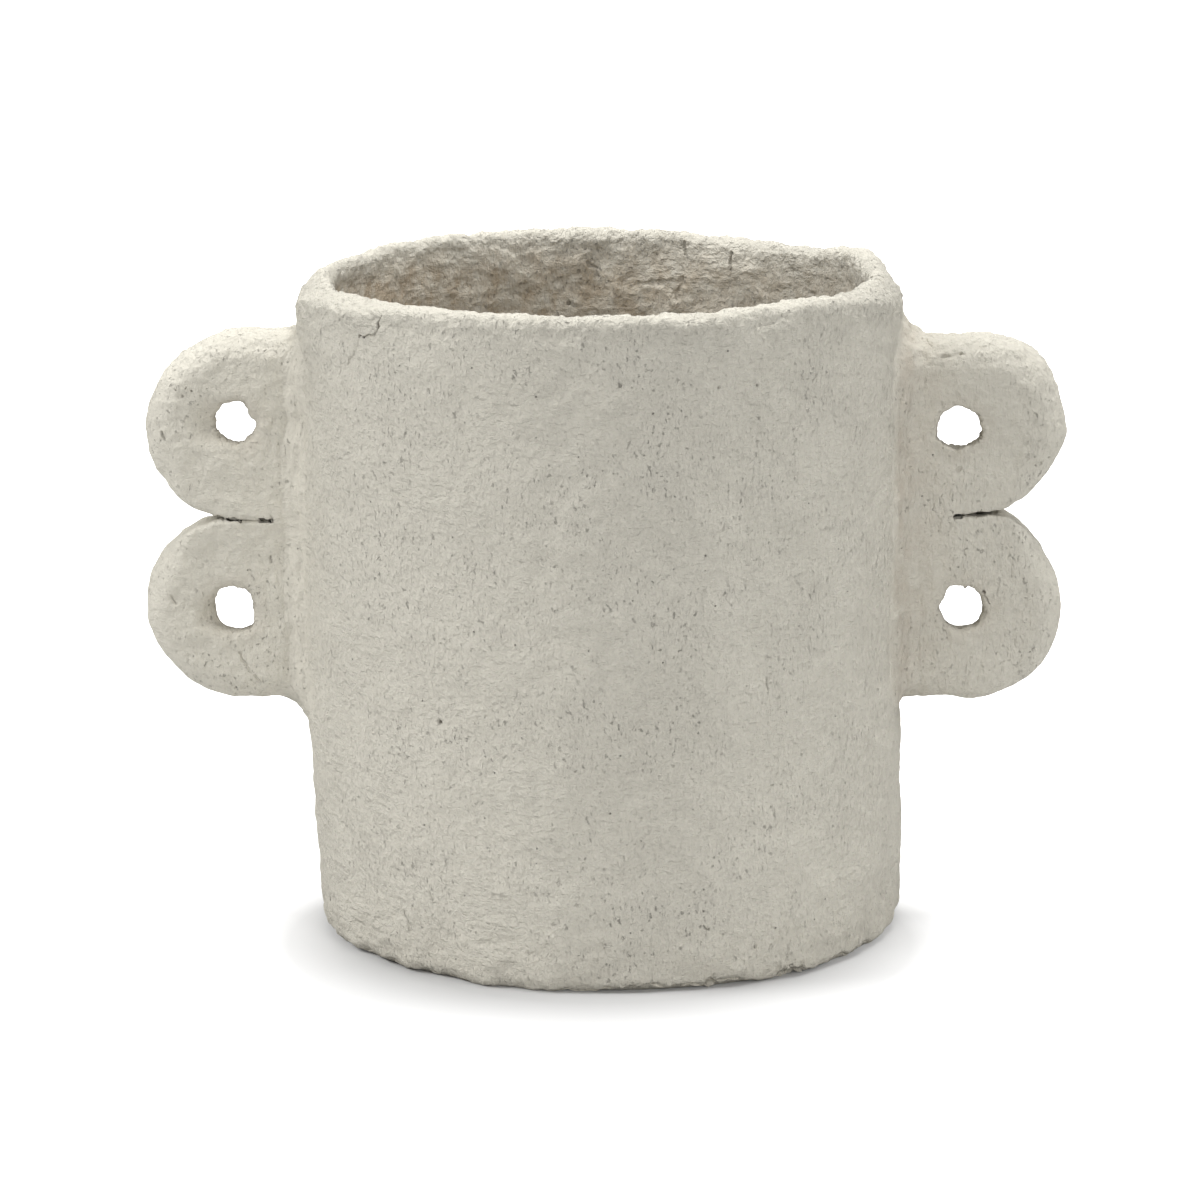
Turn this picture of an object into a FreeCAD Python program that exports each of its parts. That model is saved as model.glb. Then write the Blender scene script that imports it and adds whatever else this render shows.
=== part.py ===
"""A papier-mache flower pot: a thick round wall on a let-in floor, a rim band pressed over the wall's
raw edge, and two stacked finger rings on each side, let into the wall and bound to it by a pulp fillet.

Millimetres, +Z up, origin at the middle of the pot's foot. The rings stand out along X.
"""

import FreeCAD
import Part

import math
import os

from FreeCAD import Vector

# Wall: a straight round shell that draws in a little towards the foot.
POT_RADIUS = 150.0
POT_HEIGHT = 333.0
WALL_THICKNESS = 16.0
TUCK_HEIGHT = 72.0
TUCK_DEPTH = 5.0
FOOT_EDGE_RADIUS = 10.0

# Foot lip: the wall turned in under the floor, which the floor lies on.
LIP_WIDTH = 22.0
LIP_THICKNESS = 8.0
FLOOR_THICKNESS = 14.0

# Rim band: a strip of pulp pressed over a thin tongue on the wall's raw edge.
RIM_BAND_HEIGHT = 15.0
TONGUE_WIDTH = 6.0
TONGUE_HEIGHT = 5.0

# Finger rings: D-shaped lugs in pairs, their flat sides against each other.
RING_RADIUS = 47.0
RING_REACH = 32.0
RING_THICKNESS = 46.0
RING_EDGE_RADIUS = 13.0
RING_HOLE_RADIUS = 11.5
RING_HOLE_FLARE = 6.0
RING_PAIR_DROP = 125.0
RING_SLIT = 0.4
RING_LET_IN = 4.0

# Root fillet: wet pulp worked into the corner round each pair of rings.
ROOT_FILLET_RADIUS = 12.0

# Bond line: the film of paste between a piece and the piece that it drops into or over.
BOND_LINE = 0.3

# How far apart two sizes may be and still count as the same.
SAME = 1e-6

INNER_RADIUS = POT_RADIUS - WALL_THICKNESS
FOOT_RADIUS = POT_RADIUS - TUCK_DEPTH
LIP_RADIUS = INNER_RADIUS - LIP_WIDTH
MID_WALL_RADIUS = POT_RADIUS - WALL_THICKNESS / 2
SHOULDER_HEIGHT = POT_HEIGHT - RIM_BAND_HEIGHT
RING_CENTRE_X = POT_RADIUS + RING_REACH
PAIR_MIDDLE_HEIGHT = POT_HEIGHT - RING_PAIR_DROP
RING_CENTRE_OFFSET = RING_RADIUS + RING_SLIT / 2
PAIR_HALF_HEIGHT = RING_CENTRE_OFFSET + RING_RADIUS


def section_point(radius, height):
    """A point of a section that is turned about the pot's axis."""
    return Vector(radius, 0, height)


def line(start, end):
    return Part.LineSegment(start, end).toShape()


def polyline(points):
    return [line(a, b) for a, b in zip(points, points[1:])]


def turned(edges):
    """The solid that a closed section makes when it is turned about the pot's axis."""
    face = Part.Face(Part.Wire(edges))
    return face.revolve(Vector(0, 0, 0), Vector(0, 0, 1), 360)


def solid_of(shape):
    """The shape with its split faces joined again."""
    return shape.removeSplitter()


def tuck_radius(height):
    """The outer radius where the wall draws in, on an arc that runs smoothly into the straight wall."""
    drop = TUCK_HEIGHT - FOOT_EDGE_RADIUS
    arc_radius = (drop**2 + TUCK_DEPTH**2) / (2 * TUCK_DEPTH)
    below = TUCK_HEIGHT - height
    return POT_RADIUS - arc_radius + math.sqrt(arc_radius**2 - below**2)


def outer_wall_edges():
    """The wall's outside in section, from the foot's flat to the shoulder under the rim band."""
    flat_end = section_point(FOOT_RADIUS - FOOT_EDGE_RADIUS, 0)
    quarter = FOOT_EDGE_RADIUS * math.sqrt(0.5)
    edge_middle = section_point(
        FOOT_RADIUS - FOOT_EDGE_RADIUS + quarter, FOOT_EDGE_RADIUS - quarter
    )
    edge_top = section_point(FOOT_RADIUS, FOOT_EDGE_RADIUS)
    half_way = (FOOT_EDGE_RADIUS + TUCK_HEIGHT) / 2
    tuck_middle = section_point(tuck_radius(half_way), half_way)
    tuck_top = section_point(POT_RADIUS, TUCK_HEIGHT)
    return [
        Part.Arc(flat_end, edge_middle, edge_top).toShape(),
        Part.Arc(edge_top, tuck_middle, tuck_top).toShape(),
        line(tuck_top, section_point(POT_RADIUS, SHOULDER_HEIGHT)),
    ]


def wall_blank():
    """The wall before the rings are let in: outside, shoulder and tongue, inside, foot lip."""
    tongue_outer = MID_WALL_RADIUS + TONGUE_WIDTH / 2
    tongue_inner = MID_WALL_RADIUS - TONGUE_WIDTH / 2
    tongue_top = SHOULDER_HEIGHT + TONGUE_HEIGHT
    inside = [
        section_point(POT_RADIUS, SHOULDER_HEIGHT),
        section_point(tongue_outer, SHOULDER_HEIGHT),
        section_point(tongue_outer, tongue_top),
        section_point(tongue_inner, tongue_top),
        section_point(tongue_inner, SHOULDER_HEIGHT),
        section_point(INNER_RADIUS, SHOULDER_HEIGHT),
        section_point(INNER_RADIUS, LIP_THICKNESS),
        section_point(LIP_RADIUS, LIP_THICKNESS),
        section_point(LIP_RADIUS, 0),
        section_point(FOOT_RADIUS - FOOT_EDGE_RADIUS, 0),
    ]
    return turned(outer_wall_edges() + polyline(inside))


def floor_disc():
    """The floor, dropped in from above onto the foot lip."""
    radius = INNER_RADIUS - BOND_LINE
    return Part.makeCylinder(radius, FLOOR_THICKNESS, Vector(0, 0, LIP_THICKNESS))


def rim_band():
    """The rim: a round-topped strip, grooved underneath to sit over the tongue."""
    crown_radius = WALL_THICKNESS / 2
    spring_height = POT_HEIGHT - crown_radius
    groove_outer = MID_WALL_RADIUS + TONGUE_WIDTH / 2 + BOND_LINE
    groove_inner = MID_WALL_RADIUS - TONGUE_WIDTH / 2 - BOND_LINE
    groove_top = SHOULDER_HEIGHT + TONGUE_HEIGHT + BOND_LINE
    outer_spring = section_point(POT_RADIUS, spring_height)
    inner_spring = section_point(INNER_RADIUS, spring_height)
    crown = section_point(MID_WALL_RADIUS, POT_HEIGHT)
    under = [
        inner_spring,
        section_point(INNER_RADIUS, SHOULDER_HEIGHT),
        section_point(groove_inner, SHOULDER_HEIGHT),
        section_point(groove_inner, groove_top),
        section_point(groove_outer, groove_top),
        section_point(groove_outer, SHOULDER_HEIGHT),
        section_point(POT_RADIUS, SHOULDER_HEIGHT),
        outer_spring,
    ]
    return turned([Part.Arc(outer_spring, crown, inner_spring).toShape()] + polyline(under))


def ring_outline(side, centre_height, root_x):
    """A ring's D: a half circle outwards, and two straight sides that run in to the wall."""
    back = -RING_THICKNESS / 2
    centre_x = side * RING_CENTRE_X
    top = centre_height + RING_RADIUS
    bottom = centre_height - RING_RADIUS
    root_top = Vector(side * root_x, back, top)
    root_bottom = Vector(side * root_x, back, bottom)
    arc_top = Vector(centre_x, back, top)
    arc_tip = Vector(centre_x + side * RING_RADIUS, back, centre_height)
    arc_bottom = Vector(centre_x, back, bottom)
    return Part.Wire(
        [
            line(root_top, arc_top),
            Part.Arc(arc_top, arc_tip, arc_bottom).toShape(),
            line(arc_bottom, root_bottom),
            line(root_bottom, root_top),
        ]
    )


def on_ring_faces(edge):
    """Whether an edge lies in a ring's front or back face."""
    box = edge.BoundBox
    return box.YLength < SAME and abs(abs(box.YMin) - RING_THICKNESS / 2) < SAME


def is_hole_mouth(edge):
    """Whether an edge is the circle where a ring's hole meets its front or back face."""
    if not isinstance(edge.Curve, Part.Circle):
        return False
    return on_ring_faces(edge) and abs(edge.Curve.Radius - RING_HOLE_RADIUS) < SAME


def finger_ring(side, level):
    """One ring. side is -1 at the left and 1 at the right, level is -1 below and 1 above."""
    centre_height = PAIR_MIDDLE_HEIGHT + level * RING_CENTRE_OFFSET
    root_x = INNER_RADIUS
    outline = Part.Face(ring_outline(side, centre_height, root_x))
    blank = outline.extrude(Vector(0, RING_THICKNESS, 0))
    rounded = [
        e
        for e in blank.Edges
        if on_ring_faces(e) and abs(e.CenterOfMass.x - side * root_x) > SAME
    ]
    blank = blank.makeFillet(RING_EDGE_RADIUS, rounded)
    hole = Part.makeCylinder(
        RING_HOLE_RADIUS,
        RING_THICKNESS,
        Vector(side * RING_CENTRE_X, -RING_THICKNESS / 2, centre_height),
        Vector(0, 1, 0),
    )
    bored = blank.cut(hole)
    flared = bored.makeFillet(RING_HOLE_FLARE, [e for e in bored.Edges if is_hole_mouth(e)])
    seat = Part.makeCylinder(POT_RADIUS - RING_LET_IN, POT_HEIGHT)
    return solid_of(flared.cut(seat))


def pair_block(side):
    """The straight, round-cornered block that a pair of rings fills at its root."""
    length = RING_CENTRE_X - INNER_RADIUS
    block = Part.makeBox(length, RING_THICKNESS, 2 * PAIR_HALF_HEIGHT)
    low_x = INNER_RADIUS if side > 0 else -RING_CENTRE_X
    block.translate(Vector(low_x, -RING_THICKNESS / 2, PAIR_MIDDLE_HEIGHT - PAIR_HALF_HEIGHT))
    along_x = [e for e in block.Edges if e.BoundBox.XLength > length / 2]
    return block.makeFillet(RING_EDGE_RADIUS, along_x)


def is_root_corner(edge, drum, block):
    """Whether an edge lies in the corner where a pair's block leaves the wall."""
    middle = Part.Vertex(edge.valueAt((edge.FirstParameter + edge.LastParameter) / 2))
    on_wall = middle.distToShape(drum.Shells[0])[0] < SAME
    on_block = middle.distToShape(block.Shells[0])[0] < SAME
    return on_wall and on_block


def root_fillet(side, rings):
    """The pulp in the corner between a pair of rings and the wall, all the way round the pair."""
    drum = Part.makeCylinder(POT_RADIUS, POT_HEIGHT)
    block = pair_block(side)
    joined = drum.fuse(block)
    corner = [e for e in joined.Edges if is_root_corner(e, drum, block)]
    filled = joined.makeFillet(ROOT_FILLET_RADIUS, corner)
    band = filled.cut(drum).cut(block)
    for ring in rings:
        band = band.cut(ring)
    return solid_of(band)


def build():
    """Every piece by its name."""
    sides = {"left": -1, "right": 1}
    levels = {"upper": 1, "lower": -1}
    wall = wall_blank()
    pieces = {"floor_disc": floor_disc(), "rim_band": rim_band()}
    for side_name, side in sides.items():
        rings = {
            f"{level_name}_{side_name}_ring": finger_ring(side, level)
            for level_name, level in levels.items()
        }
        for ring in rings.values():
            wall = wall.cut(ring)
        pieces.update(rings)
        pieces[f"{side_name}_root_fillet"] = root_fillet(side, rings.values())
    pieces["pot_wall"] = solid_of(wall)
    return pieces


os.makedirs("parts", exist_ok=True)
for name, shape in build().items():
    shape.exportStep(f"parts/{name}.step")
    litres = shape.Volume / 1e6
    print(f"{name}: {len(shape.Solids)} solid, valid {shape.isValid()}, {litres:.4f} litres")
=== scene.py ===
"""The looks of a papier-mache flower pot: rough pale pulp, worked by hand over the pot's construction."""

import math

import bmesh
import bpy
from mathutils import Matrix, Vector, noise


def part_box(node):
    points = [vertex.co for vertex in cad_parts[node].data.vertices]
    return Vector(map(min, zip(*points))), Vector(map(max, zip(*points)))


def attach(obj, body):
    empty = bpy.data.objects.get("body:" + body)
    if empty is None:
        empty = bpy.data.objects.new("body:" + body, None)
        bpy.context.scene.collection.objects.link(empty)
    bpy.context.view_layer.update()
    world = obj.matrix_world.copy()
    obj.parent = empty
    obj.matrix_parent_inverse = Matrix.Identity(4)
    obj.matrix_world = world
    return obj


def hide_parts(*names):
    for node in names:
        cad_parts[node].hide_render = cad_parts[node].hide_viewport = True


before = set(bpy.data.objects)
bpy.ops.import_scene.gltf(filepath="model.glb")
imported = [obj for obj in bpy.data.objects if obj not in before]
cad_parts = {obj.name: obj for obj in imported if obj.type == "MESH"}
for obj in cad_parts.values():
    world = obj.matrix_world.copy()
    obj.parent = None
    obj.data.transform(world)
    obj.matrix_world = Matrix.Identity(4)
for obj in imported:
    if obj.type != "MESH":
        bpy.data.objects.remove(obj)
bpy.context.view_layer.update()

# Outer coat of the wall: the outer half of the pot's thick wall of paper pulp, with the foot turned in
# under it. It is pressed up by hand round a drum and smoothed with a trowel while it is wet, so it leans
# a little to one side near the foot, its foot edge is ragged, and it cracks and pits as it dries.
MM = 0.001
POT_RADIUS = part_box("pot_wall")[1].x
SHOULDER_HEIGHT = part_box("rim_band")[0].z
CROWN_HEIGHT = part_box("rim_band")[1].z
FLOOR_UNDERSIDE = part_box("floor_disc")[0].z
FLOOR_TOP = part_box("floor_disc")[1].z
INNER_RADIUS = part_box("floor_disc")[1].x
MID_WALL_RADIUS = (POT_RADIUS + INNER_RADIUS) / 2
LIP_RADIUS = INNER_RADIUS - 22 * MM
FOOT_ROUNDING = 6 * MM
TUCK_HEIGHT = 200 * MM
TUCK_DEPTH = 4.4 * MM
LEAN_HEIGHT = 170 * MM
LEAN = 5.2 * MM
TOP_SINK_HEIGHT = 75 * MM
TOP_SLOPE_HEIGHT = 45 * MM
SPIN_STEPS = 25


def section_points(corners):
    """Points along a closed section. A corner is its place across and up, its rounding, and the spacing
    of the points from there to the next corner."""
    places = [Vector(corner[:2]) for corner in corners]
    arcs = []
    for index, (_, _, rounding, spacing) in enumerate(corners):
        here = places[index]
        back = (places[index - 1] - here).normalized()
        ahead = (places[(index + 1) % len(corners)] - here).normalized()
        if not rounding:
            arcs.append([here])
            continue
        half_angle = back.angle(ahead) / 2
        middle = here + (back + ahead).normalized() * rounding / math.sin(half_angle)
        start = here + back * rounding / math.tan(half_angle) - middle
        end = here + ahead * rounding / math.tan(half_angle) - middle
        from_angle = math.atan2(start.y, start.x)
        turn = math.remainder(math.atan2(end.y, end.x) - from_angle, math.tau)
        count = max(3, round(abs(turn) * rounding / spacing))
        angles = [from_angle + turn * k / count for k in range(count + 1)]
        arcs.append([middle + rounding * Vector((math.cos(a), math.sin(a))) for a in angles])
    points = []
    for index, arc in enumerate(arcs):
        points += arc
        start, end = arc[-1], arcs[(index + 1) % len(arcs)][0]
        count = max(1, round((end - start).length / corners[index][3]))
        points += [start.lerp(end, k / count) for k in range(1, count)]
    return points


def spun(section, finer, across, up, centre=(0, 0, 0)):
    """A closed section, its points placed by the directions across and up, turned right round up.
    The turn is made in a few steps, and then each step is cut finer and pushed out to the circle."""
    bm = bmesh.new()
    across, up, centre = Vector(across), Vector(up), Vector(centre)
    sideways = up.cross(across)
    ring = [bm.verts.new(centre + across * p.x + up * p.y) for p in section]
    edges = [bm.edges.new(pair) for pair in zip(ring, ring[1:] + ring[:1])]
    bmesh.ops.spin(
        bm, geom=ring + edges, cent=centre, axis=up, angle=math.tau, steps=SPIN_STEPS, use_merge=True
    )
    bmesh.ops.remove_doubles(bm, verts=bm.verts, dist=0.001 * MM)
    round_edges = []
    for edge in bm.edges:
        along = edge.verts[1].co - edge.verts[0].co
        out = (edge.verts[1].co + edge.verts[0].co) / 2 - centre
        if abs(along.normalized().dot(up.cross(out).normalized())) > 0.7:
            round_edges.append(edge)
    bmesh.ops.subdivide_edges(bm, edges=round_edges, cuts=finer - 1)
    step = math.tau / SPIN_STEPS
    for vert in bm.verts:
        out = vert.co - centre
        angle = math.atan2(out.dot(sideways), out.dot(across)) % step - step / 2
        flat = out - up * out.dot(up)
        vert.co += flat * (math.cos(angle) / math.cos(step / 2) - 1)
    bmesh.ops.recalc_face_normals(bm, faces=bm.faces)
    bm.normal_update()
    return bm


def ease(value):
    """From 0 to 1, slow at both ends."""
    value = min(max(value, 0), 1)
    return value * value * (3 - 2 * value)


def wobble(place, size):
    """Smooth noise from about -1 to 1 with humps of about that size."""
    return 1.6 * noise.noise(place / size)


def folds(place, size):
    """Noise from about 0 to 1 with sharp creases, as in crumpled paper."""
    return 1 - abs(wobble(place, size))


# How far the hand left the top of the wall too low round the pot, and how far its outer edge slopes down
# there as well: degrees round from the front, and millimetres.
TOP_SINKS = [
    (-180, 1.0), (-150, 0.2), (-131, 1.2), (-112, 4.0), (-90, 4.0), (-60, 4.8), (-35, 4.8), (0, 4.2),
    (18, 4.5), (33, 1.8), (60, 2.5), (86, 2.5), (100, 4.0), (112, -1.2), (118, 1.0), (127, 4.0), (150, 4.2),
    (168, 0.8),
]
TOP_SLOPES = [
    (-180, 1.0), (-130, 5.0), (-90, 9.0), (-62, 4.5), (-38, 0.5), (40, 0.5), (90, 9.0), (103, 6.0), (115, 0.5),
]


def round_the_pot(place, stops):
    """The value at a place's angle, eased from each stop to the next and from the last to the first."""
    turn = math.degrees(math.atan2(place.x, -place.y))
    for (start, value), (end, next_value) in zip(stops, stops[1:] + [(stops[0][0] + 360, stops[0][1])]):
        if start <= turn < end:
            return (value + (next_value - value) * ease((turn - start) / (end - start))) * MM
    return stops[0][1] * MM


def wall_radius(height):
    """The outside's radius, which draws in towards the foot."""
    return POT_RADIUS - TUCK_DEPTH * max(1 - height / TUCK_HEIGHT, 0) ** 1.6


def lean(place):
    """How far the wall leans over to the right at a place's height."""
    return Vector((LEAN * ease(1 - place.z / LEAN_HEIGHT), 0, 0))


def leaned(place):
    """A point of the straight pot, moved to where the hand-built wall has it."""
    near_top = ease((place.z - CROWN_HEIGHT) / TOP_SINK_HEIGHT + 1)
    at_edge = ease((place.z - CROWN_HEIGHT) / TOP_SLOPE_HEIGHT + 1)
    at_edge *= ease((place.xy.length - INNER_RADIUS) / (POT_RADIUS - INNER_RADIUS)) ** 2
    sink = near_top * round_the_pot(place, TOP_SINKS) + at_edge * round_the_pot(place, TOP_SLOPES)
    return place + lean(place) - Vector((0, 0, sink))


def wall_relief(place):
    """The trowelled surface's own relief: long swells, small lumps and grain."""
    upright = Vector((place.x, place.y, place.z * 0.6))
    swell = 0.8 * MM * wobble(upright, 75 * MM) + 0.8 * MM * wobble(upright, 27 * MM)
    lumps = 0.5 * MM * wobble(place, 12 * MM) + 0.28 * MM * wobble(place, 5 * MM)
    return swell + lumps


def foot_chips(place):
    """How far the ragged foot edge is broken upwards there."""
    chips = wobble(place, 17 * MM) + 0.7 * wobble(place, 6 * MM) + 0.4 * wobble(place, 3 * MM)
    return 1.4 * MM * max(chips, -0.6)


def off_path(spot, path):
    """How far a spot is from a path of straight stretches."""
    nearest = math.inf
    for start, end in zip(path, path[1:] or path):
        along = end - start
        share = min(max((spot - start).dot(along) / max(along.length_squared, 1e-12), 0), 1)
        nearest = min(nearest, (spot - start - along * share).length)
    return nearest


def laid_flat(radius, inner, outer):
    """How a round wall is laid out flat: a place's way round from the front and its height, or nothing
    where the place isn't between the inner and the outer radius."""

    def spot(place):
        if inner < place.xy.length < outer:
            return Vector((math.atan2(place.x, -place.y) * radius, place.z))
        return None

    return spot


def worked_in(bm, marks, flat):
    """Cracks, pits and dents, pushed into a surface after it is cut finer there. A mark is a path on the
    surface laid out flat, a half width and a depth, in millimetres, and how dark it is: mostly painted shade
    in its hollow, and the brown of the fainter cracks."""
    hollow_shade = bm.verts.layers.float["hollow_shade"]
    laid_out = []
    for path, half_width, depth, shade in marks:
        spots = [Vector(point) * MM for point in path]
        margin = Vector((1, 1)) * (3 * half_width + 1) * MM
        low = Vector((min(spot.x for spot in spots), min(spot.y for spot in spots))) - margin
        high = Vector((max(spot.x for spot in spots), max(spot.y for spot in spots))) + margin
        laid_out.append((spots, half_width * MM, depth * MM, shade, low, high))

    def touched():
        """Every vertex that a mark may reach, with the mark and how far off its path the vertex is."""
        for vert in list(bm.verts):
            spot = flat(vert.co)
            if spot is None:
                continue
            for spots, half_width, depth, shade, low, high in laid_out:
                if low.x < spot.x < high.x and low.y < spot.y < high.y:
                    stray = Vector((wobble(vert.co, 4 * MM), wobble(vert.co.zxy, 4 * MM))) * 0.8 * MM
                    yield vert, off_path(spot + stray, spots), half_width, depth, shade

    near = {vert for vert, far, half_width, _, _ in touched() if far < half_width + 2 * MM}
    edges = [edge for edge in bm.edges if edge.verts[0] in near and edge.verts[1] in near]
    bmesh.ops.subdivide_edges(bm, edges=edges, cuts=3, use_grid_fill=True)
    bm.normal_update()
    pushes = []
    for vert, far, half_width, depth, shade in touched():
        ragged = far * (1 + 0.5 * wobble(vert.co, 2.5 * MM))
        share = ease(1.3 - 1.3 * ragged / half_width)
        pushes.append((vert, vert.normal * depth * share, shade * share))
    for vert, push, shade in pushes:
        vert.co -= push
        vert[hollow_shade] = max(vert[hollow_shade], shade)


def piece_from(bm, name, finish):
    """A finished piece of pulp from its mesh: smooth over its humps, sharp only at real corners."""
    bmesh.ops.recalc_face_normals(bm, faces=bm.faces)
    for edge in bm.edges:
        edge.smooth = edge.calc_face_angle(0) < math.radians(65)
    for face in bm.faces:
        face.smooth = True
    mesh = bpy.data.meshes.new(name)
    bm.to_mesh(mesh)
    bm.free()
    mesh.materials.append(finish)
    piece = bpy.data.objects.new(name, mesh)
    bpy.context.scene.collection.objects.link(piece)
    return piece


def new_node(tree, kind, inputs=(), **settings):
    """A shader node with its settings, and with its inputs set, or wired where they are given a socket."""
    node = tree.nodes.new(kind)
    for name, value in settings.items():
        setattr(node, name, value)
    for name, value in dict(inputs).items():
        if isinstance(value, bpy.types.NodeSocket):
            tree.links.new(value, node.inputs[name])
        else:
            node.inputs[name].default_value = value
    return node


def noise_field(tree, place, size, detail=3.0, roughness=0.6, distortion=0.0):
    """Noise with humps of about that size, in metres."""
    inputs = {"Vector": place, "Scale": 1 / size, "Detail": detail, "Roughness": roughness}
    return new_node(tree, "ShaderNodeTexNoise", {**inputs, "Distortion": distortion}).outputs[0]


def stretched(tree, place, across, up):
    """Coordinates that make a texture longer or shorter, across and up."""
    inputs = {"Vector": place, "Scale": (1 / across, 1 / across, 1 / up)}
    return new_node(tree, "ShaderNodeMapping", inputs).outputs["Vector"]


def between(tree, value, low, high, to_low=0.0, to_high=1.0):
    """A value taken from one range to another, and held inside it."""
    inputs = {0: value, 1: low, 2: high, 3: to_low, 4: to_high}
    return new_node(tree, "ShaderNodeMapRange", inputs, clamp=True).outputs[0]


def worked_out(tree, operation, first, second):
    """The result of one sum on two values."""
    inputs = {0: first, 1: second}
    return new_node(tree, "ShaderNodeMath", inputs, operation=operation).outputs[0]


def tinted(tree, colour, factor, tint, blend="MIX"):
    """A colour mixed towards a tint by a factor."""
    inputs = {0: factor, 6: colour, 7: tint}
    node = new_node(tree, "ShaderNodeMix", inputs, data_type="RGBA", blend_type=blend)
    return node.outputs[2]


def piece_value(tree, name):
    """A value that the piece's own mesh carries at each point."""
    return new_node(tree, "ShaderNodeAttribute", attribute_name=name).outputs["Fac"]


def pitted(tree, place, cell, share, size):
    """Pin holes, 1 in a hole and 0 round it: one in some of the cells, each of its own size."""
    cells = new_node(tree, "ShaderNodeTexVoronoi", {"Vector": place, "Scale": 1 / cell})
    luck = new_node(tree, "ShaderNodeSeparateColor", {0: cells.outputs["Color"]}).outputs[0]
    hole = between(tree, luck, 1 - share, 1.0, 0.0, size)
    return between(tree, worked_out(tree, "SUBTRACT", hole, cells.outputs["Distance"]), 0.0, 0.07)


def pulp_finish(name, pale, dusk, stain_and_shade_tint, grain):
    """Dried paper pulp: cloudy pale grey, a fine grain, dimples and pin holes, and a brown tint that is
    partly its own stain and partly painted shade. Its colour also carries painted shade in dips, pits, pin
    holes and marks, painted light bounced up near the foot, and a painted highlight on the rim's crown. pale
    and dusk are its lightest and darkest cloud, grain the depth of its relief in metres."""
    finish = bpy.data.materials.new(name)
    finish.use_nodes = True
    tree = finish.node_tree
    shader = tree.nodes["Principled BSDF"]
    shader.inputs["Roughness"].default_value = 0.92
    shader.inputs["Specular IOR Level"].default_value = 0.2
    place = new_node(tree, "ShaderNodeTexCoord").outputs["Object"]
    upright = stretched(tree, place, 1.0, 1.5)

    clouds = between(tree, noise_field(tree, place, 45 * MM, 6.0), 0.32, 0.7)
    colour = tinted(tree, pale, clouds, dusk)
    fine = noise_field(tree, upright, 1.4 * MM, 3.0)
    lumps = noise_field(tree, place, 3.8 * MM, 4.0)
    # Painted shade: the colour is darkened where the relief dips and lightened a little where it stands up.
    painted_cavity_shade = between(tree, worked_out(tree, "ADD", lumps, fine), 0.78, 1.2, 0.95, 1.03)
    colour = tinted(tree, colour, 1.0, painted_cavity_shade, "MULTIPLY")
    spot = new_node(tree, "ShaderNodeSeparateXYZ", {0: place})
    height = spot.outputs["Z"]
    # Painted light: the colour is lighter towards the foot and darker towards the shoulder, standing in for light
    # bounced up from the floor.
    painted_floor_bounce = between(tree, height, 0.0, SHOULDER_HEIGHT, 1.08, 0.97)
    # Painted highlight: the top few millimetres of the rim's crown are lighter, where the light from above falls.
    painted_crown_highlight = between(tree, height, CROWN_HEIGHT - 6 * MM, CROWN_HEIGHT - 1 * MM, 1.0, 1.1)
    colour = tinted(tree, colour, 1.0, worked_out(tree, "MULTIPLY", painted_floor_bounce, painted_crown_highlight), "MULTIPLY")
    # The brown tint, set at each point by the mesh, is partly the pulp's own brown stain and partly painted shade in
    # the fillets' corners, the ring holes and the inside.
    stain_and_shade = piece_value(tree, "stain_and_shade")
    blotches = noise_field(tree, stretched(tree, place, 1.0, 1.4), 10 * MM, 5.0, 0.7)
    blotches = between(tree, blotches, 0.34, 0.64, 0.2, 1.2)
    colour = tinted(tree, colour, worked_out(tree, "MULTIPLY", stain_and_shade, blotches), stain_and_shade_tint)

    patches = between(tree, noise_field(tree, place, 38 * MM), 0.4, 0.58)
    pits = between(tree, noise_field(tree, upright, 1.7 * MM, 3.0, 0.6, 0.3), 0.63, 0.71)
    pits = worked_out(tree, "MULTIPLY", pits, patches)
    pin_holes = pitted(tree, place, 5 * MM, 0.25, 0.13)
    # Painted shade: pits, pin holes and the marks' hollows are darkened towards a dark brown.
    shade = worked_out(tree, "MULTIPLY", pits, 0.15)
    shade = worked_out(tree, "MAXIMUM", shade, worked_out(tree, "MULTIPLY", pin_holes, 0.6))
    shade = worked_out(tree, "MAXIMUM", shade, piece_value(tree, "hollow_shade"))
    colour = tinted(tree, colour, shade, (0.11, 0.095, 0.075, 1.0))
    tree.links.new(colour, shader.inputs["Base Color"])

    streaks = noise_field(tree, stretched(tree, place, 1.0, 3.6), 2.7 * MM)
    rough_side = between(tree, spot.outputs["X"], 0.2 * POT_RADIUS, 0.8 * POT_RADIUS, 0.0, 1.1)
    streakiness = worked_out(tree, "ADD", between(tree, patches, 0.3, 1.0, 0.0, 1.1), rough_side)
    streaks = worked_out(tree, "MULTIPLY", streaks, streakiness)
    wrinkles = noise_field(tree, stretched(tree, place, 1.7, 0.7), 5 * MM)
    wrinkles = worked_out(tree, "MULTIPLY", wrinkles, between(tree, patches, 0.0, 0.8, 1.6, 0.4))
    relief = worked_out(tree, "ADD", worked_out(tree, "MULTIPLY", fine, 0.5), wrinkles)
    relief = worked_out(tree, "ADD", relief, streaks)
    relief = worked_out(tree, "ADD", relief, worked_out(tree, "MULTIPLY", lumps, 1.35))
    relief = worked_out(tree, "SUBTRACT", relief, worked_out(tree, "MULTIPLY", pits, 0.9))
    relief = worked_out(tree, "SUBTRACT", relief, pin_holes)
    bump = new_node(tree, "ShaderNodeBump", {"Strength": 1.0, "Distance": grain, "Height": relief})
    tree.links.new(bump.outputs[0], shader.inputs["Normal"])
    return finish


PALE_PULP = (0.615, 0.588, 0.512, 1.0)
DUSK_PULP = (0.58, 0.554, 0.481, 1.0)
BROWN_STAIN_AND_SHADE = (0.4, 0.335, 0.25, 1.0)
wall_finish = pulp_finish("wall_pulp", PALE_PULP, DUSK_PULP, BROWN_STAIN_AND_SHADE, 2.0 * MM)
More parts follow.
